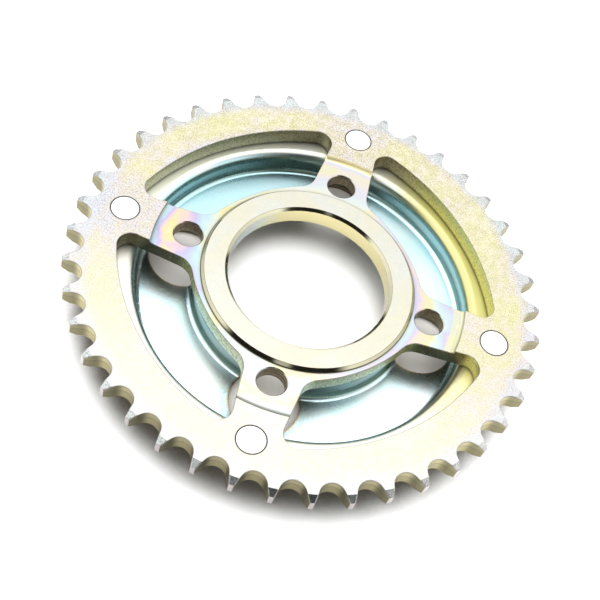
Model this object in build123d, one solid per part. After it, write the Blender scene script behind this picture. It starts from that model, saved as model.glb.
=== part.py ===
"""Motorcycle rear sprocket: a toothed plate, a pressed dish cover behind it and four flush rivets.

Frame: millimetres. The origin is on the bore axis, on the plate's back face. +Z points out of the
front face, and +Y runs along one of the four arms.
"""
from build123d import *
from math import atan2, cos, degrees, hypot, radians, sin, sqrt
import os

# Chain and teeth (half-inch pitch chain)
PITCH = 12.7
ROLLER_D = 8.51
TEETH = 41
TIP_R = 85.4
SEAT_R = 0.505 * ROLLER_D + 0.069 * ROLLER_D ** (1 / 3)     # a little larger than the roller
SEAT_ANGLE = 140 - 90 / TEETH           # arc that the roller seat covers
FLANK_R = 44.0                          # convex flank between seat and tip
TOOTH_TURN = -0.75                      # a tooth gap sits this many degrees from the +Y arm
TIP_CHAMFER_R = 2.6                     # each side of a tooth is chamfered over its last stretch
TIP_CHAMFER_Z = 1.3
TOOTH_EDGE_R = 0.3                      # rounding of the teeth's edges on both faces
RIM_R = 74.0                            # everything beyond this radius belongs to the teeth

# Plate
PLATE_T = 7.0
BORE_R = 29.0
BORE_CHAMFER = 1.0                      # on the front end of the bore
HUB_RING_R = 38.3                       # turned ring round the bore, as high as the outer ring
HUB_RING_CHAMFER = 1.0
RECESS_DEPTH = 1.5                      # recess turned across the four arms
RECESS_R = 57.0
RECESS_WALL_R = 2.1                     # concave outer wall of the recess, rising from the floor
RECESS_FOOT_R = 0.35                    # fillet at the foot of the hub ring

# Arms and windows
ARMS = 4
ARM_HALF_W = 9.2                        # half-width of an arm where it meets the outer ring
ARM_FLARE = 0.09                        # the arm widens towards the hub by this slope
WINDOW_MID_OUTER_R = 65.4               # window edges, measured halfway between two arms
WINDOW_MID_INNER_R = 40.0
WINDOW_ARC_OFFSET = 18.75               # both window edges are struck from beyond the bore axis
WINDOW_OUTER_CORNER_R = 5.0
WINDOW_INNER_CORNER_R = 7.0
WINDOW_EDGE_R = 0.4                     # rounding that blanking leaves on the window edges

# Wheel bolts
BOLT_PCD = 90.0
BOLT_HOLE_R = 5.25
BOLT_EDGE = 0.3

# Rivets
RIVET_PCD = 137.5
RIVET_HEAD_R = 5.0
RIVET_HEAD_H = 1.2
RIVET_CONE_H = 1.5
RIVET_SHANK_R = 3.5
RIVET_GAP = 0.15                        # seam between a rivet's flush head and the plate
RIVET_EDGE_R = 0.2
RIVET_TAIL_R = 5.2
RIVET_TAIL_H = 2.0

# Dish cover
SHEET_T = 1.6
DISH_FLANGE_R = 75.0
DISH_WALL_R = 60.0                      # inner face of the outer wall
DISH_COLLAR_R = 39.6                    # outer face of the inner collar
DISH_CENTRE_R = 34.0
DISH_DEPTH = 9.0                        # plate's back face down to the dish's floor
DISH_FLANGE_BEND_R = 3.4                # bends, measured on the face towards the plate
DISH_BEND_R = 2.0
DISH_OPENING_R = 12.5                   # clearance openings round the wheel bolts

OVERRUN = 1.0                           # cutters run this far past the faces they cut


def polar(r, angle):
    """Point at a radius and an angle in degrees."""
    return (r * cos(radians(angle)), r * sin(radians(angle)))


def arm_angles():
    """Directions of the arms, starting at +Y."""
    return [90 + 360 * i / ARMS for i in range(ARMS)]


def gap_points():
    """One tooth gap, lying on the +X axis: start, middle and end points of its arcs."""
    pitch_r = PITCH / 2 / sin(radians(180 / TEETH))
    root_r = pitch_r - ROLLER_D / 2
    half = radians(SEAT_ANGLE / 2)
    seat_end = (root_r + SEAT_R - SEAT_R * cos(half), SEAT_R * sin(half))
    # The flank leaves the seat at a tangent. Its centre lies across the tooth from the seat.
    centre = (
        seat_end[0] - FLANK_R * cos(half),
        seat_end[1] + FLANK_R * sin(half),
    )
    reach = hypot(*centre)
    spread = (reach ** 2 + TIP_R ** 2 - FLANK_R ** 2) / (2 * reach)
    side = sqrt(TIP_R ** 2 - spread ** 2)
    unit = (centre[0] / reach, centre[1] / reach)
    tip = (spread * unit[0] + side * unit[1], spread * unit[1] - side * unit[0])
    a0 = atan2(seat_end[1] - centre[1], seat_end[0] - centre[0])
    a1 = atan2(tip[1] - centre[1], tip[0] - centre[0])
    mid = (
        centre[0] + FLANK_R * cos((a0 + a1) / 2),
        centre[1] + FLANK_R * sin((a0 + a1) / 2),
    )
    return (root_r, 0), seat_end, mid, tip


def tooth_outline():
    """Outline of the whole toothed rim, as arcs."""
    root, seat_end, flank_mid, tip = gap_points()
    step = 360 / TEETH
    tip_angle = degrees(atan2(tip[1], tip[0]))
    edges = []
    for k in range(TEETH):
        turn = 90 + TOOTH_TURN + k * step

        def at(point, mirror=1):
            return polar(hypot(*point), turn + mirror * degrees(atan2(point[1], point[0])))

        edges.append(ThreePointArc(at(tip, -1), at(flank_mid, -1), at(seat_end, -1)))
        edges.append(ThreePointArc(at(seat_end, -1), at(root), at(seat_end)))
        edges.append(ThreePointArc(at(seat_end), at(flank_mid), at(tip)))
        land_mid = polar(TIP_R, turn + step / 2)
        land_end = polar(TIP_R, turn + step - tip_angle)
        edges.append(ThreePointArc(at(tip), land_mid, land_end))
    return make_face(edges)


def is_tooth_edge(edge):
    """True for an edge round the teeth on the front or back, but not for a corner along a tooth's side."""
    start, mid, end = edge @ 0, edge @ 0.5, edge @ 1
    runs_across = abs(start.Z - end.Z) > TIP_CHAMFER_Z + TOOTH_EDGE_R
    return hypot(mid.X, mid.Y) > RIM_R and not runs_across


def plate_section():
    """Half section of the plate, in the XZ plane, before teeth and windows are cut."""
    floor = PLATE_T - RECESS_DEPTH
    wall_in = RECESS_R - RECESS_WALL_R
    front = [
        Line((BORE_R, 0), (BORE_R, PLATE_T - BORE_CHAMFER)),
        Line((BORE_R, PLATE_T - BORE_CHAMFER), (BORE_R + BORE_CHAMFER, PLATE_T)),
        Line((BORE_R + BORE_CHAMFER, PLATE_T), (HUB_RING_R - HUB_RING_CHAMFER, PLATE_T)),
        Line((HUB_RING_R - HUB_RING_CHAMFER, PLATE_T), (HUB_RING_R, PLATE_T - HUB_RING_CHAMFER)),
        Line((HUB_RING_R, PLATE_T - HUB_RING_CHAMFER), (HUB_RING_R, floor + RECESS_FOOT_R)),
        TangentArc((HUB_RING_R, floor + RECESS_FOOT_R), (HUB_RING_R + RECESS_FOOT_R, floor),
                   tangent=(0, -1)),
        Line((HUB_RING_R + RECESS_FOOT_R, floor), (wall_in, floor)),
        TangentArc((wall_in, floor), (RECESS_R, PLATE_T), tangent=(1, 0)),
        Line((RECESS_R, PLATE_T), (TIP_R - TIP_CHAMFER_R, PLATE_T)),
        Line((TIP_R - TIP_CHAMFER_R, PLATE_T), (TIP_R, PLATE_T - TIP_CHAMFER_Z)),
        Line((TIP_R, PLATE_T - TIP_CHAMFER_Z), (TIP_R, TIP_CHAMFER_Z)),
        Line((TIP_R, TIP_CHAMFER_Z), (TIP_R - TIP_CHAMFER_R, 0)),
        Line((TIP_R - TIP_CHAMFER_R, 0), (BORE_R, 0)),
    ]
    return Plane.XZ * make_face(front)


def window_face():
    """One window, between the +X and +Y arms."""
    centre = polar(-WINDOW_ARC_OFFSET, 45)
    ring = Circle(WINDOW_MID_OUTER_R + WINDOW_ARC_OFFSET) - Circle(WINDOW_MID_INNER_R + WINDOW_ARC_OFFSET)
    far = 2 * TIP_R

    def arm_side(u):
        return ARM_HALF_W + ARM_FLARE * (RECESS_R - u)

    near = (ARM_HALF_W + ARM_FLARE * RECESS_R) / (1 + ARM_FLARE)
    wedge = make_face(Polyline(
        (near, near), (far, arm_side(far)), (far, far), (arm_side(far), far), close=True))
    window = (Pos(*centre) * ring) & wedge
    by_reach = window.vertices().sort_by(lambda v: v.X ** 2 + v.Y ** 2)
    window = fillet(by_reach[-2:], WINDOW_OUTER_CORNER_R)
    by_reach = window.vertices().sort_by(lambda v: v.X ** 2 + v.Y ** 2)
    return fillet(by_reach[:2], WINDOW_INNER_CORNER_R)


def around(shape, r=0):
    """Copies of a shape at each arm, moved out to a radius."""
    return [Rot(0, 0, angle) * Pos(r, 0, 0) * shape for angle in arm_angles()]


def revolved(points):
    """Solid turned about the Z axis from an outline of (radius, height) points."""
    return revolve(Plane.XZ * make_face(Polyline(*points, close=True)), Axis.Z)


def is_window_edge(edge):
    """True for an edge where a window's wall meets the front surfaces of the plate."""
    mid = edge @ 0.5
    if mid.Z < PLATE_T - RECESS_DEPTH - RECESS_FOOT_R / 2:
        return False
    if not HUB_RING_R + RECESS_FOOT_R < hypot(mid.X, mid.Y) < RIVET_PCD / 2:
        return False
    if edge.geom_type == GeomType.CIRCLE:
        # Arcs centred on the bore axis or on an arm belong to the turning and the drilled holes.
        centre = edge.arc_center
        return min(abs(centre.X), abs(centre.Y)) > RECESS_FOOT_R
    return True


def bolt_hole():
    """Drilled hole through an arm, with a small chamfer at each end."""
    top = PLATE_T - RECESS_DEPTH
    wide = BOLT_HOLE_R + 2 * BOLT_EDGE
    return revolved([
        (0, -BOLT_EDGE), (wide, -BOLT_EDGE), (BOLT_HOLE_R, BOLT_EDGE),
        (BOLT_HOLE_R, top - BOLT_EDGE), (wide, top + BOLT_EDGE), (0, top + BOLT_EDGE)])


def rivet_seat():
    """Countersunk hole for a rivet, a little wider than the rivet's head."""
    cone_top = PLATE_T - RIVET_HEAD_H
    wide = RIVET_HEAD_R + RIVET_GAP
    return revolved([
        (0, -OVERRUN), (RIVET_SHANK_R, -OVERRUN), (RIVET_SHANK_R, cone_top - RIVET_CONE_H),
        (RIVET_HEAD_R, cone_top), (wide, cone_top), (wide, PLATE_T + OVERRUN),
        (0, PLATE_T + OVERRUN)])


def sprocket_plate():
    """The toothed blank with its recess, bore, windows, bolt holes and rivet seats."""
    body = revolve(plate_section(), Axis.Z) & extrude(tooth_outline(), PLATE_T)
    body = fillet(body.edges().filter_by(is_tooth_edge), TOOTH_EDGE_R)
    window = Pos(0, 0, -OVERRUN) * extrude(window_face(), PLATE_T + 2 * OVERRUN)
    body -= [Rot(0, 0, angle) * window for angle in arm_angles()]
    body -= around(bolt_hole(), BOLT_PCD / 2)
    body -= around(rivet_seat(), RIVET_PCD / 2)
    return fillet(body.edges().filter_by(is_window_edge), WINDOW_EDGE_R)


def rivet():
    """Rivet with a flush countersunk head in front and a low round tail behind the dish's flange."""
    cone_top = PLATE_T - RIVET_HEAD_H
    head = revolved([
        (0, -SHEET_T), (RIVET_SHANK_R, -SHEET_T), (RIVET_SHANK_R, cone_top - RIVET_CONE_H),
        (RIVET_HEAD_R, cone_top), (RIVET_HEAD_R, PLATE_T), (0, PLATE_T)])
    head = fillet(head.edges().filter_by(GeomType.CIRCLE).sort_by(Axis.Z)[-1:], RIVET_EDGE_R)
    dome_r = (RIVET_TAIL_R ** 2 + RIVET_TAIL_H ** 2) / (2 * RIVET_TAIL_H)
    dome = Pos(0, 0, -SHEET_T - RIVET_TAIL_H + dome_r) * Sphere(dome_r)
    under_flange = Pos(0, 0, -SHEET_T - dome_r) * Box(4 * dome_r, 4 * dome_r, 2 * dome_r)
    return head + (dome & under_flange)


def dish_section():
    """Half section of the dish's sheet, in the XZ plane: its face towards the plate, thickened."""
    face = FilletPolyline(
        (DISH_FLANGE_R, 0), (DISH_WALL_R, 0), (DISH_WALL_R, -DISH_DEPTH),
        (DISH_COLLAR_R, -DISH_DEPTH), (DISH_COLLAR_R, 0), (DISH_CENTRE_R, 0),
        radius=(DISH_FLANGE_BEND_R, DISH_BEND_R, DISH_BEND_R, DISH_BEND_R))
    return Plane.XZ * make_face(offset(face, SHEET_T, side=Side.LEFT).edges())


def dish_cover():
    """Pressed annular pan with an opening round each wheel bolt and a hole for each rivet."""
    body = revolve(dish_section(), Axis.Z)
    deep = DISH_DEPTH + 2 * SHEET_T
    body -= around(Cylinder(DISH_OPENING_R, 2 * deep), BOLT_PCD / 2)
    body -= around(Cylinder(RIVET_SHANK_R, 2 * deep), RIVET_PCD / 2)
    return body


def main():
    os.makedirs("parts", exist_ok=True)
    nodes = {"sprocket_plate": sprocket_plate(), "dish_cover": dish_cover()}
    for number, piece in enumerate(around(rivet(), RIVET_PCD / 2), start=1):
        nodes[f"rivet_{number}"] = piece
    for name, shape in nodes.items():
        export_step(shape, f"parts/{name}.step")


main()
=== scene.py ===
"""Looks of a zinc-plated motorcycle rear sprocket, lying face up on a pale studio floor.

Every piece keeps its CAD shape and gets a material made of nodes. Lengths in the materials are in mm
about the bore axis. The four arms lie along X and Y, and the viewer stands towards -Y.
"""
import bpy
import bmesh
from math import cos, radians
from mathutils import Euler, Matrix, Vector


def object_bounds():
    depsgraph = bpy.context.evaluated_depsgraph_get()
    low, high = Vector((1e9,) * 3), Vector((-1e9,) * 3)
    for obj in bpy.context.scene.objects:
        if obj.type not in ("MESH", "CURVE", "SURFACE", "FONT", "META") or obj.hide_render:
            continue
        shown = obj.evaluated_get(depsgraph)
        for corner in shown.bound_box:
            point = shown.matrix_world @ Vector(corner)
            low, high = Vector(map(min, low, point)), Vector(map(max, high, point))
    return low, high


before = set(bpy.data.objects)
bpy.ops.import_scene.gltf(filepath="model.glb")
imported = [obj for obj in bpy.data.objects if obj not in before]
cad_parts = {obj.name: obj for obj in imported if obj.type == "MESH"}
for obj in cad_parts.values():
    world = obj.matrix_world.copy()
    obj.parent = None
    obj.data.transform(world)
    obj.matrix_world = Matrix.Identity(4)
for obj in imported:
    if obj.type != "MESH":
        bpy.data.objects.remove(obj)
cad_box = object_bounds()

MM = 0.001

# Camera
CAMERA_PLACE = (-4.49, -247.86, 339.16)       # mm
CAMERA_TURN = (33.634, -11.952, 16.293)       # degrees about X, Y and Z
CAMERA_LENS = 71.04                           # mm
SENSOR_WIDTH = 36.0                           # mm

# Light: a white tent with a dark opening towards the viewer
TENT_LEVEL = 2.45
HORIZON_LEVEL = 1.55
TENT_FULL_HEIGHT = 0.62                       # sine of the elevation where the tent is at full level
ZENITH_LEVEL = 1.6                            # a weak glow near the zenith
ZENITH_AIM = (0.0, 0.16, 1.0)
TO_VIEWER = (0.035, -0.999)                   # X and Y of the opening's direction
OPENING_HALF_WIDTH = 55.0                     # degrees
OPENING_SOFTNESS = 7.0                        # degrees
HIGH_DARK_AIM = (0.25, -0.44, 0.86)           # the opening's top, which reaches to one side
SIDE_SHADE_AIM = (0.68, -0.12, 0.72)          # a greyer patch of the tent beside it
SIDE_SHADE = 0.42
GAP_LEVEL = 1.2                               # a narrow gap of light in the opening
GAP_AIM = (0.06, -0.83, 0.55)
DARK_LEVEL = 0.03
MATT_LIFT = 0.22                              # how much more light matt surfaces get

# How much of the light each finish sends back
RING_LEVEL = 0.40
ARM_LEVEL = 0.39
WALL_LEVEL = 0.95                             # walls are seen by light that has already bounced once
TOOTH_WALL_LEVEL = 0.38
TOOTH_BEVEL_LEVEL = 0.42
# The tooth bevels on the far side are darker: painted shade.
FAR_BEVEL_LEVEL = 0.25
DISH_LEVEL = 0.57
DISH_WALL_LEVEL = 0.56
RIVET_LEVEL = 0.56

# Places on the plate and the dish, in mm from the bore axis or from a bolt's or rivet's own axis
BORE_EDGE_R = 30.0
RING_EDGE_R = 37.3
RING_FOOT_R = 38.3
BOLT_R = 45.0
BOLT_HOLE_REACH = 6.0
OPENING_R = 12.5                              # the dish's openings round the wheel bolts
FILM_TROUGH_R = 52.0                          # where the film on the arms is thinnest
RECESS_FLOOR_R = 54.9
RECESS_R = 57.0
RIVET_R = 68.75
RIVET_HEAD_R = 5.0
TOOTH_ROOT_R = 78.7
TIP_R = 85.4
DISH_DEPTH = 9.0
CREVICE_REACH = 1.5 * MM
FLOOR_REACH = 28.0 * MM                       # how far above the floor the part still shades it
FLOOR_SIZE = 4.0                              # m


# ---------------------------------------------------------------- tints

# Interference colours of the passivation film, in order of its thickness
FILM_SOFT = (
    (0.00, (0.93, 0.90, 0.50)),
    (0.16, (0.95, 0.88, 0.64)),
    (0.30, (0.93, 0.86, 0.79)),
    (0.44, (0.85, 0.85, 0.92)),
    (0.60, (0.84, 0.91, 0.94)),
    (0.78, (0.91, 0.95, 0.88)),
    (1.00, (0.94, 0.90, 0.58)),
)
FILM_VIVID = (
    (0.00, (0.96, 0.88, 0.34)),
    (0.14, (0.96, 0.82, 0.50)),
    (0.28, (0.93, 0.66, 0.74)),
    (0.42, (0.62, 0.52, 0.88)),
    (0.56, (0.56, 0.72, 0.96)),
    (0.70, (0.60, 0.90, 0.94)),
    (0.84, (0.84, 0.94, 0.78)),
    (1.00, (0.96, 0.90, 0.42)),
)
# Blanked window walls, from the back of the plate to its front
WALL_TINTS = (
    (0.00, (0.84, 0.88, 0.72)),
    (0.25, (0.74, 0.78, 0.60)),
    (0.50, (0.68, 0.68, 0.46)),
    (0.72, (0.50, 0.45, 0.26)),
    (0.90, (0.18, 0.14, 0.08)),
)

RING_PALE = (0.96, 0.96, 0.90)
FAR_RIM = (0.76, 0.83, 0.79)
ARM_PALE = (0.94, 0.95, 0.93)
RECESS_OLIVE = (0.46, 0.50, 0.38)
RECESS_GOLD = (0.92, 0.78, 0.34)
RECESS_LEMON = (0.93, 0.95, 0.60)
HUB_PALE = (0.87, 0.88, 0.80)
HUB_WARM = (0.89, 0.86, 0.70)
HUB_BEVEL = (0.95, 0.91, 0.66)
BORE_GOLD = (0.97, 0.87, 0.48)
BORE_BLUE = (0.80, 0.90, 0.88)

TOOTH_BURNISHED = (0.88, 0.79, 0.47)
TOOTH_TORN = (0.72, 0.63, 0.34)
TOOTH_SHEAR_LINE = (0.34, 0.28, 0.14)
TOOTH_STREAK = (0.74, 0.68, 0.38)
TOOTH_FLANK_SHADE = (0.20, 0.19, 0.12)
TOOTH_FRONT_EDGE = (0.26, 0.22, 0.14)
TOOTH_LAND = (0.93, 0.84, 0.84)

WINDOW_BROWN = (0.34, 0.27, 0.16)
WINDOW_OLIVE = (0.30, 0.31, 0.20)
WINDOW_YELLOW = (1.0, 0.96, 0.42)
UNDER_ARM_MOSS = (0.36, 0.38, 0.16)
UNDER_ARM_LIME = (0.74, 0.78, 0.34)
UNDER_ARM_BROWN = (0.13, 0.11, 0.06)
HOLE_BLACK = (0.09, 0.065, 0.045)
HOLE_BROWN = (0.46, 0.36, 0.24)
PIT_DARK = (0.16, 0.14, 0.08)
PIT_BRIGHT = (0.86, 0.84, 0.56)

SEAM_BROWN = (0.30, 0.24, 0.10)
JOINT_BLACK = (0.10, 0.09, 0.06)
FLECK_LILAC = (0.40, 0.37, 0.46)
BEVEL_COOL = (0.88, 0.94, 0.90)
BEVEL_WARM = (0.94, 0.93, 0.86)
BEVEL_PINK = (0.86, 0.66, 0.84)
BEVEL_NAVY = (0.22, 0.25, 0.36)

ZINC_BLUE = (0.64, 0.89, 0.96)
ZINC_PALE = (0.86, 0.94, 0.95)
DISH_WALL_BLUE = (0.56, 0.88, 0.90)
DISH_WALL_DARK = (0.24, 0.34, 0.30)
DISH_NEAR_WALL = (0.26, 0.33, 0.28)
DISH_COLLAR = (0.50, 0.62, 0.58)
DISH_FLOOR_BLUE = (0.42, 0.68, 0.73)
FLANGE_PALE = (0.96, 0.96, 0.86)
FLANGE_GOLD = (0.97, 0.90, 0.54)
FLANGE_OLIVE = (0.74, 0.71, 0.34)
SHEARED_BROWN = (0.48, 0.36, 0.20)
SMUDGE = (0.24, 0.25, 0.19)
LIP_BROWN = (0.62, 0.47, 0.27)

RIVET_BRIGHT = (0.96, 0.96, 0.96)
RIVET_GREY = (0.92, 0.93, 0.92)
RIVET_RIM = (0.12, 0.12, 0.10)

FLOOR_TINT = (0.90, 0.90, 0.895)
FLOOR_PALE = (0.92, 0.92, 0.915)
FLOOR_SHADE = (0.58, 0.55, 0.52)
FLOOR_DEEP_SHADE = (0.15, 0.13, 0.105)


# ---------------------------------------------------------------- node helpers

def colour(rgb):
    return (*rgb, 1.0)


class Graph:
    """A small layer over a node tree, so that a material reads as a list of steps."""

    def __init__(self, tree):
        self.tree = tree
        tree.nodes.clear()

    def add(self, kind, inputs=None, **settings):
        node = self.tree.nodes.new(kind)
        for name, value in settings.items():
            setattr(node, name, value)
        for key, value in (inputs or {}).items():
            self.put(node.inputs[key], value)
        return node

    def put(self, socket, value):
        if isinstance(value, bpy.types.NodeSocket):
            self.tree.links.new(value, socket)
        else:
            socket.default_value = value

    def math(self, operation, a, b=0.0):
        return self.add("ShaderNodeMath", {0: a, 1: b}, operation=operation).outputs[0]

    def fold(self, operation, first, rest):
        for value in rest:
            first = self.math(operation, first, value)
        return first

    def add_up(self, first, *rest):
        return self.fold("ADD", first, rest)

    def times(self, first, *rest):
        return self.fold("MULTIPLY", first, rest)

    def most(self, first, *rest):
        return self.fold("MAXIMUM", first, rest)

    def size_of(self, value):
        return self.math("ABSOLUTE", value)

    def swing(self, noise, amount):
        """Noise about 0, and amount times as strong."""
        return self.times(self.add_up(noise, -0.5), amount)

    def step(self, value, low, high):
        """0 below low, 1 above high, smooth between. low may be above high, for a falling step."""
        node = self.add("ShaderNodeMapRange", {0: value, 1: low, 2: high, 3: 0.0, 4: 1.0},
                        interpolation_type="SMOOTHSTEP")
        return node.outputs[0]

    def span(self, value, low, high, soft):
        """1 between low and high, falling to 0 over soft on each side."""
        return self.times(self.step(value, low - soft, low), self.step(value, high + soft, high))

    def inverse(self, value):
        return self.math("SUBTRACT", 1.0, value)

    def remap(self, value, low, high, to_low, to_high):
        inputs = {0: value, 1: low, 2: high, 3: to_low, 4: to_high}
        return self.add("ShaderNodeMapRange", inputs).outputs[0]

    def mix(self, factor, a, b, blend="MIX"):
        node = self.add("ShaderNodeMix", data_type="RGBA", blend_type=blend, clamp_factor=True)
        for index, value in ((0, factor), (6, a), (7, b)):
            self.put(node.inputs[index], colour(value) if isinstance(value, tuple) else value)
        return node.outputs[2]

    def blend(self, factor, a, b):
        node = self.add("ShaderNodeMix", data_type="FLOAT", clamp_factor=True)
        for index, value in ((0, factor), (2, a), (3, b)):
            self.put(node.inputs[index], value)
        return node.outputs[0]

    def noise(self, vector, size, detail=2.0, rough=0.5, distort=0.0):
        """Noise about 0.5, with features about size long in the vector's own units."""
        inputs = {"Vector": vector, "Scale": 1.0 / size, "Detail": detail, "Roughness": rough,
                  "Distortion": distort}
        return self.add("ShaderNodeTexNoise", inputs).outputs["Fac"]

    def ramp(self, value, stops):
        node = self.add("ShaderNodeValToRGB", {0: value})
        elements = node.color_ramp.elements
        while len(elements) < len(stops):
            elements.new(0.5)
        for element, (place, shade) in zip(elements, stops):
            element.position = place
            element.color = colour(shade)
        return node.outputs[0]

    def vector(self, x, y, z):
        return self.add("ShaderNodeCombineXYZ", {0: x, 1: y, 2: z}).outputs[0]

    def scale(self, vector, factor):
        inputs = {0: vector, "Scale": factor}
        return self.add("ShaderNodeVectorMath", inputs, operation="SCALE").outputs[0]

    def split(self, vector):
        return self.add("ShaderNodeSeparateXYZ", {0: vector}).outputs

    def bump(self, height):
        """A normal from a height in mm."""
        return self.add("ShaderNodeBump", {"Height": height, "Distance": MM}).outputs[0]

    def open_sky(self, reach, samples):
        """How open the surroundings are within reach: 1 in the open, 0 shut in."""
        node = self.add("ShaderNodeAmbientOcclusion", {"Distance": reach}, samples=samples)
        return node.outputs["AO"]


class Place:
    """Where a shaded point is: its place in mm, polar about the bore axis, and the way it faces."""

    def __init__(self, g):
        coords = g.add("ShaderNodeTexCoord")
        self.mm = g.scale(coords.outputs["Object"], 1.0 / MM)
        self.x, self.y, self.z = g.split(self.mm)
        self.r = g.math("SQRT", g.add_up(g.times(self.x, self.x), g.times(self.y, self.y)))
        self.angle = g.math("ARCTAN2", self.y, self.x)
        normal = g.add("ShaderNodeNewGeometry").outputs["Normal"]
        self.nx, self.ny, self.nz = g.split(normal)
        self.steep = g.step(g.size_of(self.nz), 0.55, 0.3)
        self.up = g.step(self.nz, 0.8, 0.95)


def new_material(name):
    material = bpy.data.materials.new(name)
    material.use_nodes = True
    return material, Graph(material.node_tree)


def metal_output(g, base, level, rough, normal):
    """Finish a metal whose base tint is dulled to a level."""
    dulled = g.mix(1.0, base, g.vector(level, level, level), "MULTIPLY")
    shader = g.add("ShaderNodeBsdfPrincipled", {
        "Base Color": dulled, "Roughness": rough, "Metallic": 1.0, "Normal": normal})
    g.add("ShaderNodeOutputMaterial", {"Surface": shader.outputs[0]})


def crease_shade(g):
    """Painted shade where one surface meets another: 1 in the open, darker in a corner."""
    return g.remap(g.open_sky(CREVICE_REACH, 8), 0.45, 0.95, 0.18, 1.0)


def distance_from(g, p, radius):
    """Distance in mm to the nearest of the four points at a radius on the arms."""
    off_x = g.math("SUBTRACT", g.size_of(p.x), radius)
    off_y = g.math("SUBTRACT", g.size_of(p.y), radius)
    to_x = g.math("SQRT", g.add_up(g.times(off_x, off_x), g.times(p.y, p.y)))
    to_y = g.math("SQRT", g.add_up(g.times(off_y, off_y), g.times(p.x, p.x)))
    return g.math("MINIMUM", to_x, to_y)


# ---------------------------------------------------------------- the plate

class Plate:
    """Noises and regions that the plate's colours, relief and roughness share."""

    def __init__(self, g):
        p = self.p = Place(g)
        # Noise, from the broadest to the finest, then the streaks that run through a blanked wall
        self.slow = g.noise(p.mm, 30.0, 2.0, 0.5, 0.4)
        self.patch = g.noise(p.mm, 11.0, 2.0, 0.5, 0.5)
        self.small = g.noise(p.mm, 2.6, 2.0, 0.55)
        self.coarse = g.noise(p.mm, 0.9, 4.0, 0.7)
        self.grain = g.noise(p.mm, 0.50, 3.0, 0.75)
        self.fine = g.noise(p.mm, 0.30, 2.0, 0.6)
        along = g.times(p.angle, p.r)
        self.shear = g.noise(g.vector(g.times(along, 2.2), g.times(p.z, 0.35), p.r), 1.0, 3.0, 0.6)
        # The turned ring round the bore
        self.hub = g.step(p.r, RING_FOOT_R + 0.2, RING_FOOT_R)
        self.hub_bevels = g.times(self.hub, g.inverse(p.up))
        self.bore_wall = g.times(g.step(p.r, BORE_EDGE_R + 0.1, BORE_EDGE_R - 0.1), p.steep)
        # The arms, whose recess ends in a turned wall
        self.recess_wall = g.span(p.r, RECESS_FLOOR_R + 0.5, RECESS_R, 0.3)
        self.sideways = g.math("POWER", g.size_of(g.math("COSINE", p.angle)), 2.0)
        # The outer ring and its teeth
        self.outside = g.step(p.r, RECESS_R - 0.1, RECESS_R + 0.1)
        self.rim = g.step(p.r, TOOTH_ROOT_R - 3.5, TOOTH_ROOT_R + 2.0)
        self.to_rivet = distance_from(g, p, RIVET_R)
        up_left = g.step(g.math("SUBTRACT", p.y, p.x), -60.0, 60.0)
        self.near_rivet = g.times(g.step(self.to_rivet, 22.0, 6.0), up_left)
        more_left = g.blend(g.step(p.x, 40.0, -10.0), 0.3, 1.0)
        self.inner_edge = g.times(g.step(p.r, 69.5, 65.0), more_left)
        self.tooth_bevels = g.step(p.r, TIP_R - 2.9, TIP_R - 2.3)
        # Blanked and drilled walls
        turned_wall = g.times(g.span(p.r, RECESS_FLOOR_R, RECESS_R, 0.1), g.step(p.z, 5.4, 5.5))
        beyond_hub = g.step(p.r, RING_FOOT_R + 0.4, RING_FOOT_R + 0.8)
        self.cut = g.times(p.steep, beyond_hub, g.inverse(turned_wall))
        self.at_teeth = g.step(p.r, TOOTH_ROOT_R - 1.5, TOOTH_ROOT_R - 0.5)
        self.blasted = g.times(self.outside, g.inverse(self.cut))


def ring_tint(g, m):
    """Yellow between the arms, lilac and pale blue round the rivets and along the edges."""
    thickness = g.add_up(
        0.08,
        g.times(g.most(m.near_rivet, m.inner_edge), 0.17),
        g.times(m.rim, 0.31),
        g.swing(m.slow, 0.60),
        g.swing(m.patch, 0.50),
        g.swing(m.small, 0.50),
        g.swing(m.grain, 1.15),
        g.swing(m.fine, 0.55))
    tint = g.ramp(g.math("MINIMUM", g.most(thickness, 0.0), 0.66), FILM_SOFT)
    # Paler towards the near side: painted light.
    tint = g.mix(g.times(g.step(m.p.y, 10.0, -70.0), 0.65), tint, RING_PALE)
    return g.mix(g.times(m.rim, g.step(m.p.y, 0.0, 50.0), 0.6), tint, FAR_RIM)


def arm_tint(g, m):
    """Bands of colour that follow the recess, broken up by slow patches."""
    p = m.p
    from_trough = g.math("SUBTRACT", p.r, FILM_TROUGH_R)
    from_recess = g.math("SUBTRACT", RECESS_R, p.r)
    rise = g.most(g.times(from_trough, 0.135), g.times(from_trough, -0.060))
    rise = g.blend(g.step(p.x, 10.0, 20.0), rise, g.times(from_recess, 0.075))
    thickness = g.add_up(rise, g.swing(m.slow, 0.9), g.swing(m.patch, 1.1), 1.06)
    thickness = g.math("FRACT", thickness)
    pale = g.mix(0.35, g.ramp(thickness, FILM_SOFT), ARM_PALE)
    strength = g.times(m.sideways, g.blend(g.step(p.x, -10.0, 10.0), 0.72, 0.45))
    tint = g.mix(g.most(strength, 0.12), pale, g.ramp(thickness, FILM_VIVID))
    wall_tint = g.mix(g.step(p.y, -10.0, 10.0), RECESS_OLIVE, RECESS_GOLD)
    tint = g.mix(g.times(m.recess_wall, g.inverse(m.sideways), 0.8), tint, wall_tint)
    right_wall = g.times(g.span(p.r, 53.6, RECESS_R, 1.0), m.sideways, g.step(p.x, 0.0, 10.0), 0.7)
    return g.mix(right_wall, tint, RECESS_LEMON)


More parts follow.
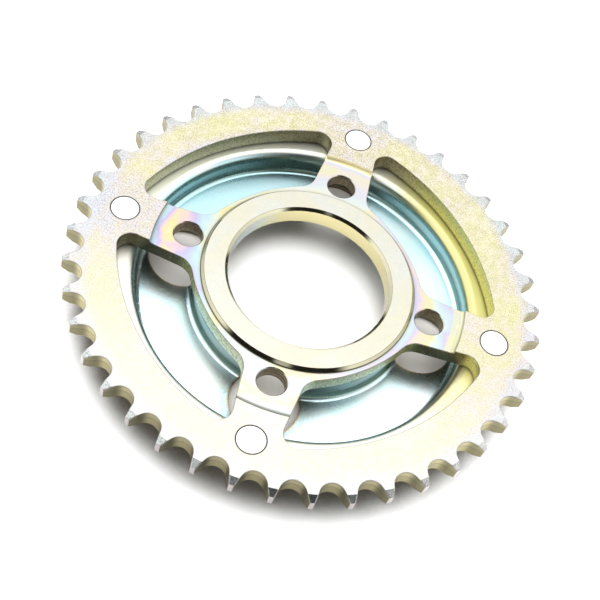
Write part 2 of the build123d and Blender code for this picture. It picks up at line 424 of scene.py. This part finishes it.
def face_tint(g, m):
    """The ring, the arms and the turned ring round the bore, with its bevels and its bore."""
    p = m.p
    tint = g.mix(m.outside, arm_tint(g, m), ring_tint(g, m))
    warm = g.step(g.add_up(m.patch, g.times(m.small, 0.3), g.times(m.grain, 0.5)), 0.70, 1.05)
    tint = g.mix(g.times(m.hub, p.up), tint, g.mix(warm, HUB_PALE, HUB_WARM))
    tint = g.mix(m.hub_bevels, tint, HUB_BEVEL)
    left = g.step(g.add_up(p.x, g.times(m.patch, 8.0)), -12.0, -24.0)
    return g.mix(m.bore_wall, tint, g.mix(left, BORE_GOLD, BORE_BLUE))


def tooth_wall_tint(g, m):
    """Burnished towards the front and torn towards the back, with painted shade on flanks that face
    sideways.
    """
    p = m.p
    torn = g.step(g.add_up(p.z, g.swing(m.coarse, 2.2)), 4.3, 3.7)
    tint = g.mix(torn, TOOTH_BURNISHED, TOOTH_TORN)
    tint = g.mix(g.times(g.span(p.z, 3.8, 4.3, 0.3), 0.6), tint, TOOTH_SHEAR_LINE)
    tint = g.mix(g.times(m.shear, 0.5), tint, TOOTH_STREAK)
    # Flanks that face sideways are painted darker: painted shade.
    cross = g.add_up(g.times(p.x, p.ny), g.times(p.y, p.nx, -1.0))
    sidelong = g.size_of(g.math("DIVIDE", cross, p.r))
    tint = g.mix(g.times(g.step(sidelong, 0.55, 0.95), 0.65), tint, TOOTH_FLANK_SHADE)
    tint = g.mix(g.times(g.step(p.z, 6.3, 6.8), 0.6), tint, TOOTH_FRONT_EDGE)
    return g.mix(g.step(p.r, TIP_R - 0.25, TIP_R - 0.05), tint, TOOTH_LAND)


def window_wall_tint(g, m):
    """Sheared walls of the windows and turned walls of the bolt holes, darker and yellower in places."""
    p = m.p
    streak = g.add_up(g.times(m.shear, 0.7), g.times(m.coarse, 0.3))
    tint = g.ramp(g.add_up(g.times(p.z, 0.11), g.swing(streak, 1.1), 0.02), WALL_TINTS)
    by_far_arm = g.times(g.step(g.size_of(p.x), 44.0, 14.0), g.step(p.y, 0.0, 20.0), 0.75)
    tint = g.mix(by_far_arm, tint, WINDOW_BROWN)
    far_left = g.times(g.step(p.x, 5.0, -5.0), g.step(p.y, 0.0, 10.0), 0.5)
    tint = g.mix(far_left, tint, WINDOW_OLIVE)
    # The walls below the two arms on X: lime specks near the hub, brown further out
    out = g.add_up(g.size_of(p.x), g.swing(streak, 7.0))
    below_arm = g.times(g.step(p.y, 4.0, -4.0), g.step(p.ny, 0.35, -0.1), g.step(out, 33.0, 37.0), 0.9)
    below_tint = g.mix(g.step(m.coarse, 0.42, 0.62), UNDER_ARM_MOSS, UNDER_ARM_LIME)
    below_tint = g.mix(g.step(out, 40.0, 46.0), below_tint, UNDER_ARM_BROWN)
    tint = g.mix(below_arm, tint, below_tint)
    # The bolt holes, with the rings that the drill left
    rings = g.noise(g.vector(0.0, g.times(p.angle, 0.5), g.times(p.z, 3.2)), 1.0, 2.0, 0.6)
    hole_tint = g.mix(g.step(rings, 0.40, 0.60), HOLE_BLACK, HOLE_BROWN)
    in_hole = g.step(distance_from(g, p, BOLT_R), BOLT_HOLE_REACH + 1.0, BOLT_HOLE_REACH)
    tint = g.mix(g.times(in_hole, 0.9), tint, hole_tint)
    # Yellow on the walls to the right, and pits everywhere
    across = g.add_up(g.times(p.x, 0.94), g.times(p.y, 0.34), g.times(m.patch, 12.0))
    yellow = g.times(g.step(across, 44.0, 62.0), g.step(p.r, 60.0, 63.0))
    tint = g.mix(g.times(yellow, 0.8), tint, WINDOW_YELLOW)
    pits = g.noise(p.mm, 0.7, 4.0, 0.8)
    tint = g.mix(g.times(g.step(pits, 0.50, 0.60), g.blend(yellow, 0.7, 0.45)), tint, PIT_DARK)
    return g.mix(g.times(g.step(pits, 0.44, 0.34), 0.4), tint, PIT_BRIGHT)


def with_seams(g, m, tint):
    """Dark seams at the foot and crown of the turned ring, and the joint round each rivet."""
    foot = g.span(m.p.r, RING_FOOT_R - 0.02, RING_FOOT_R + 0.22, 0.12)
    crown = g.times(g.span(m.p.r, RING_EDGE_R - 0.07, RING_EDGE_R + 0.07, 0.08), 0.7)
    bore_edge = g.times(g.span(m.p.r, BORE_EDGE_R - 0.06, BORE_EDGE_R + 0.06, 0.08), 0.6)
    seam = g.times(g.most(foot, crown, bore_edge), g.step(m.p.z, 5.0, 5.3), 0.75)
    joint = g.times(g.step(m.to_rivet, RIVET_HEAD_R + 0.42, RIVET_HEAD_R + 0.28), 0.85)
    return g.mix(joint, g.mix(seam, tint, SEAM_BROWN), JOINT_BLACK)


def with_specks(g, m, tint):
    """Specks in the grain that blasting left, on the ring and more thickly on the tooth bevels."""
    worn = g.blend(g.most(m.inner_edge, g.times(m.rim, 0.6), m.near_rivet), 0.45, 0.85)
    # The specks are fainter on the near side: painted light.
    fainter_near = g.blend(g.step(m.p.y, -60.0, 0.0), 0.45, 1.0)
    hollow = g.step(g.add_up(m.grain, g.times(m.fine, 0.5)), 0.72, 0.64)
    tint = g.mix(g.times(m.blasted, hollow, worn, fainter_near), tint, FLECK_LILAC)
    bevel = g.times(m.blasted, m.tooth_bevels)
    bevel_tint = g.mix(g.step(m.p.x, 20.0, 60.0), BEVEL_COOL, BEVEL_WARM)
    tint = g.mix(g.times(bevel, 0.7), tint, bevel_tint)
    tint = g.mix(g.times(bevel, g.step(m.grain, 0.55, 0.66), 0.75), tint, BEVEL_PINK)
    return g.mix(g.times(bevel, g.step(m.fine, 0.48, 0.40), 0.75), tint, BEVEL_NAVY)


def plate_relief(g, m):
    """Blasted grain, turning lines and torn walls, in mm."""
    p = m.p
    lines_at = g.vector(g.times(p.r, 6.0), g.times(p.angle, 0.8), g.times(p.z, 6.0))
    lines = g.noise(lines_at, 1.0, 2.0, 0.6)
    return g.add_up(
        g.times(m.blasted, g.add_up(g.times(m.grain, 0.035), g.times(m.fine, 0.012))),
        g.times(m.blasted, m.tooth_bevels, m.fine, 0.012),
        g.times(g.inverse(m.outside), lines, 0.0016),
        g.times(m.cut, g.add_up(g.times(m.shear, 0.05), g.times(m.coarse, 0.05))))


def plate_roughness(g, m):
    rough = g.blend(m.outside, g.blend(m.hub, 0.22, 0.28), 0.38)
    rough = g.blend(m.hub_bevels, rough, 0.10)
    rough = g.blend(m.tooth_bevels, rough, 0.22)
    rough = g.blend(g.times(m.recess_wall, g.inverse(m.p.up)), rough, 0.40)
    rough = g.blend(m.cut, rough, 0.42)
    return g.add_up(rough, g.swing(m.patch, 0.10))


def plate_level(g, m):
    """How much light each part of the plate sends back, with painted light and shade by place."""
    p = m.p
    # Faces, mottled by the grain; the mottle fades on the near ring as painted light
    ring_mottle = g.times(m.outside, g.blend(g.step(p.y, -20.0, 55.0), 0.15, 1.0))
    mottle = g.add_up(g.swing(m.grain, 1.2), g.swing(m.small, 0.45))
    mottle = g.times(mottle, g.most(g.times(m.hub, 0.25), ring_mottle))
    level = g.times(g.blend(m.outside, ARM_LEVEL, RING_LEVEL), g.add_up(1.0, mottle))
    # Tooth bevels darker on the far side: painted shade.
    bevel_level = g.blend(g.step(p.y, 70.0, -20.0), FAR_BEVEL_LEVEL, TOOTH_BEVEL_LEVEL)
    level = g.blend(m.tooth_bevels, level, bevel_level)
    # Walls, with painted light and shade: recess walls lit on the far side and dimmed on the arms along X,
    # tooth walls brighter at the sides
    dim_arms = g.times(m.sideways, g.blend(g.step(p.x, 0.0, -10.0), 0.7, 1.0))
    lit_recess = g.times(m.recess_wall, g.inverse(p.up), g.step(p.y, -20.0, 5.0), g.inverse(dim_arms))
    walls = g.most(g.times(m.bore_wall, 0.55), lit_recess, m.cut)
    brighter_sides = g.add_up(1.0, g.times(g.step(g.size_of(p.x), 30.0, 70.0), 0.7))
    tooth_level = g.times(brighter_sides, TOOTH_WALL_LEVEL)
    level = g.blend(walls, level, g.blend(m.at_teeth, WALL_LEVEL, tooth_level))
    # Darker in corners and creases: painted shade.
    return g.times(level, crease_shade(g))


def plate_material():
    """Yellow-passivated zinc on a blanked, drilled and turned steel plate."""
    material, g = new_material("plate_zinc")
    m = Plate(g)
    wall = g.mix(m.at_teeth, window_wall_tint(g, m), tooth_wall_tint(g, m))
    tint = g.mix(m.cut, face_tint(g, m), wall)
    tint = with_specks(g, m, with_seams(g, m, tint))
    normal = g.bump(plate_relief(g, m))
    metal_output(g, tint, plate_level(g, m), plate_roughness(g, m), normal)
    return material


# ---------------------------------------------------------------- the dish, the rivets and the floor

def dish_material():
    """Clear, faintly blue zinc on pressed sheet."""
    material, g = new_material("dish_zinc")
    p = Place(g)
    slow = g.noise(p.mm, 22.0, 2.0, 0.5, 0.5)
    patch = g.noise(p.mm, 6.0, 3.0, 0.6)
    fine = g.noise(p.mm, 0.7, 3.0, 0.6)
    to_bolt = distance_from(g, p, BOLT_R)
    flange = g.step(p.z, -0.7, -0.3)
    wall = g.times(g.inverse(p.up), g.step(p.z, -0.6, -2.0))
    far_side = g.step(p.y, 0.0, 20.0)
    # Walls, with painted shade: darker on the far left and on the near side
    tint = g.mix(g.step(slow, 0.35, 0.65), ZINC_BLUE, ZINC_PALE)
    tint = g.mix(g.times(wall, 0.8), tint, DISH_WALL_BLUE)
    far_left = g.times(wall, g.step(p.x, -62.0, -20.0), g.step(p.x, 12.0, -4.0), far_side)
    tint = g.mix(g.times(far_left, 0.7), tint, DISH_WALL_DARK)
    near_wall = g.times(wall, g.step(p.y, 10.0, -10.0))
    tint = g.mix(g.times(near_wall, g.step(p.r, 46.0, 50.0), 0.7), tint, DISH_NEAR_WALL)
    tint = g.mix(g.times(near_wall, g.step(p.r, 48.0, 44.0), 0.6), tint, DISH_COLLAR)
    # Bluer on the far half of the floor, and a golden film on the right of the flange
    far_floor = g.times(p.up, g.step(p.z, -7.0, -8.0), g.step(p.y, 0.0, 25.0), g.step(p.r, 39.0, 50.0))
    tint = g.mix(g.times(far_floor, g.blend(g.step(p.x, -10.0, 10.0), 0.75, 0.4)), tint, DISH_FLOOR_BLUE)
    # The flange is painted paler all round: painted light.
    tint = g.mix(flange, tint, FLANGE_PALE)
    across = g.add_up(g.times(p.x, 0.94), g.times(p.y, 0.34), g.times(patch, 14.0))
    golden = g.times(g.step(across, 34.0, 58.0), g.step(p.z, -2.4, -1.4))
    tint = g.mix(golden, tint, g.mix(g.step(p.y, -10.0, 10.0), FLANGE_GOLD, FLANGE_OLIVE))
    # Sheared edges of the sheet round the wheel bolts
    edge = g.times(g.step(to_bolt, OPENING_R + 0.15, OPENING_R + 0.02), p.steep)
    tint = g.mix(edge, tint, SHEARED_BROWN)
    # Drawing marks that run down the wall and out across the floor, strongest near the openings
    drawn_at = g.vector(g.times(p.r, 0.35), g.times(p.angle, 46.0), g.times(p.z, 0.35))
    drawn = g.noise(drawn_at, 1.0, 3.0, 0.6)
    rubbed = g.times(
        g.step(to_bolt, OPENING_R + 9.0, OPENING_R + 1.0), g.inverse(flange),
        g.step(p.z, 0.10 - DISH_DEPTH, 0.02 - DISH_DEPTH),
        g.blend(g.step(g.size_of(p.x), 20.0, 32.0), 0.45, 1.0))
    marks = g.step(g.add_up(drawn, g.times(fine, 0.6), g.times(rubbed, 0.3)), 0.60, 1.05)
    tint = g.mix(g.times(rubbed, marks, 0.8), tint, SMUDGE)
    lip = g.times(g.step(to_bolt, OPENING_R + 0.6, OPENING_R + 0.3), g.inverse(p.steep), g.inverse(flange))
    tint = g.mix(g.times(lip, 0.8), tint, LIP_BROWN)
    # Relief, roughness and level
    normal = g.bump(g.add_up(g.times(patch, 0.006), g.times(fine, 0.0016), g.times(drawn, 0.001)))
    rough = g.add_up(0.20, g.times(slow, 0.10), g.times(fine, 0.08), g.times(flange, 0.16))
    rough = g.blend(edge, rough, 0.4)
    # The walls on the far right are brighter: painted light.
    brighter_right = g.add_up(1.0, g.times(wall, g.step(p.x, 10.0, 40.0), far_side, 0.35))
    level = g.times(g.blend(wall, DISH_LEVEL, DISH_WALL_LEVEL), brighter_right)
    # Darker in corners and creases: painted shade.
    level = g.times(level, g.blend(0.5, 1.0, crease_shade(g)))
    metal_output(g, tint, level, rough, normal)
    return material


def rivet_material():
    """Plain bright zinc on the rivets, dressed flush in front."""
    material, g = new_material("rivet_steel")
    p = Place(g)
    patch = g.noise(p.mm, 2.5, 3.0, 0.6)
    fine = g.noise(p.mm, 0.3, 2.0, 0.6)
    to_rivet = distance_from(g, p, RIVET_R)
    rim = g.times(g.step(to_rivet, RIVET_HEAD_R - 0.26, RIVET_HEAD_R - 0.12), g.step(p.z, 0.0, 1.0))
    tint = g.mix(g.times(rim, 0.8), g.mix(patch, RIVET_BRIGHT, RIVET_GREY), RIVET_RIM)
    normal = g.bump(g.add_up(g.times(patch, 0.006), g.times(fine, 0.004)))
    metal_output(g, tint, RIVET_LEVEL, g.add_up(0.28, g.times(patch, 0.12)), normal)
    return material


def floor_material():
    """Plain pale paper, with a painted shadow where the part all but touches it."""
    material, g = new_material("studio_floor")
    p = Place(g)
    tint = g.mix(g.noise(p.mm, 60.0, 2.0), FLOOR_TINT, FLOOR_PALE)
    # Painted shadow: darker where little of the sky is open, deepest under the teeth.
    shade = g.mix(g.step(p.r, 60.0, 76.0), FLOOR_SHADE, FLOOR_DEEP_SHADE)
    clear_above = g.blend(g.step(p.r, 34.0, 44.0), 0.49, 0.60)
    tint = g.mix(g.step(g.open_sky(FLOOR_REACH, 12), 0.38, clear_above), shade, tint)
    shader = g.add("ShaderNodeBsdfPrincipled", {"Base Color": tint, "Roughness": 0.9})
    g.add("ShaderNodeOutputMaterial", {"Surface": shader.outputs[0]})
    return material


# ---------------------------------------------------------------- the set

def dress_nodes():
    looks = {"sprocket_plate": plate_material(), "dish_cover": dish_material()}
    rivet_look = rivet_material()
    for name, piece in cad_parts.items():
        piece.data.materials.clear()
        piece.data.materials.append(looks.get(name, rivet_look))


def make_floor(height):
    mesh = bpy.data.meshes.new("studio_floor")
    sheet = bmesh.new()
    bmesh.ops.create_grid(sheet, x_segments=1, y_segments=1, size=FLOOR_SIZE / 2)
    sheet.to_mesh(mesh)
    sheet.free()
    floor = bpy.data.objects.new("studio_floor", mesh)
    floor.location.z = height
    mesh.materials.append(floor_material())
    bpy.context.scene.collection.objects.link(floor)


def make_camera():
    lens = bpy.data.cameras.new("camera")
    lens.lens = CAMERA_LENS
    lens.sensor_width = SENSOR_WIDTH
    camera = bpy.data.objects.new("camera", lens)
    camera.location = Vector(CAMERA_PLACE) * MM
    camera.rotation_euler = Euler([radians(turn) for turn in CAMERA_TURN], "XYZ")
    bpy.context.scene.collection.objects.link(camera)
    bpy.context.scene.camera = camera


def make_world():
    """A white tent with a dark opening towards the viewer, and a weak glow near the zenith."""
    world = bpy.data.worlds.new("studio")
    world.use_nodes = True
    bpy.context.scene.world = world
    g = Graph(world.node_tree)
    way = g.add("ShaderNodeTexCoord").outputs["Generated"]
    x, y, z = g.split(way)

    def near(aim, inner, outer):
        """1 within inner degrees of a direction, falling to 0 at outer."""
        inputs = {0: way, 1: Vector(aim).normalized()}
        cosine = g.add("ShaderNodeVectorMath", inputs, operation="DOT_PRODUCT").outputs["Value"]
        return g.step(cosine, cos(radians(outer)), cos(radians(inner)))

    # The opening
    flat = g.math("SQRT", g.add_up(g.times(x, x), g.times(y, y), 0.0001))
    to_viewer = g.math("DIVIDE", g.add_up(g.times(y, TO_VIEWER[1]), g.times(x, TO_VIEWER[0])), flat)
    outer = cos(radians(OPENING_HALF_WIDTH + OPENING_SOFTNESS))
    inner = cos(radians(OPENING_HALF_WIDTH - OPENING_SOFTNESS))
    opening = g.times(g.step(to_viewer, outer, inner), g.step(z, 0.82, 0.68), g.step(z, 0.28, 0.37))
    side_shade = g.times(near(SIDE_SHADE_AIM, 5.0, 18.0), SIDE_SHADE)
    opening = g.most(opening, near(HIGH_DARK_AIM, 17.0, 30.0), side_shade)
    # The tent and what is added to it
    tent = g.blend(g.step(z, 0.0, TENT_FULL_HEIGHT), HORIZON_LEVEL, TENT_LEVEL)
    level = g.add_up(
        g.times(tent, g.inverse(opening)),
        g.times(near(ZENITH_AIM, 10.0, 30.0), ZENITH_LEVEL),
        g.times(near(GAP_AIM, 3.0, 8.0), GAP_LEVEL),
        DARK_LEVEL)
    # Matt surfaces get a little more, and the camera sees plain white
    path = g.add("ShaderNodeLightPath").outputs
    level = g.times(level, g.add_up(1.0, g.times(path["Is Diffuse Ray"], MATT_LIFT)))
    level = g.blend(path["Is Camera Ray"], level, 1.0)
    back = g.add("ShaderNodeBackground", {"Color": colour((1.0, 1.0, 1.0)), "Strength": level})
    g.add("ShaderNodeOutputWorld", {"Surface": back.outputs[0]})


def main():
    dress_nodes()
    make_floor(cad_box[0][2])
    make_camera()
    make_world()
    view = bpy.context.scene.view_settings
    view.view_transform = "Standard"
    view.exposure = 0.0


main()
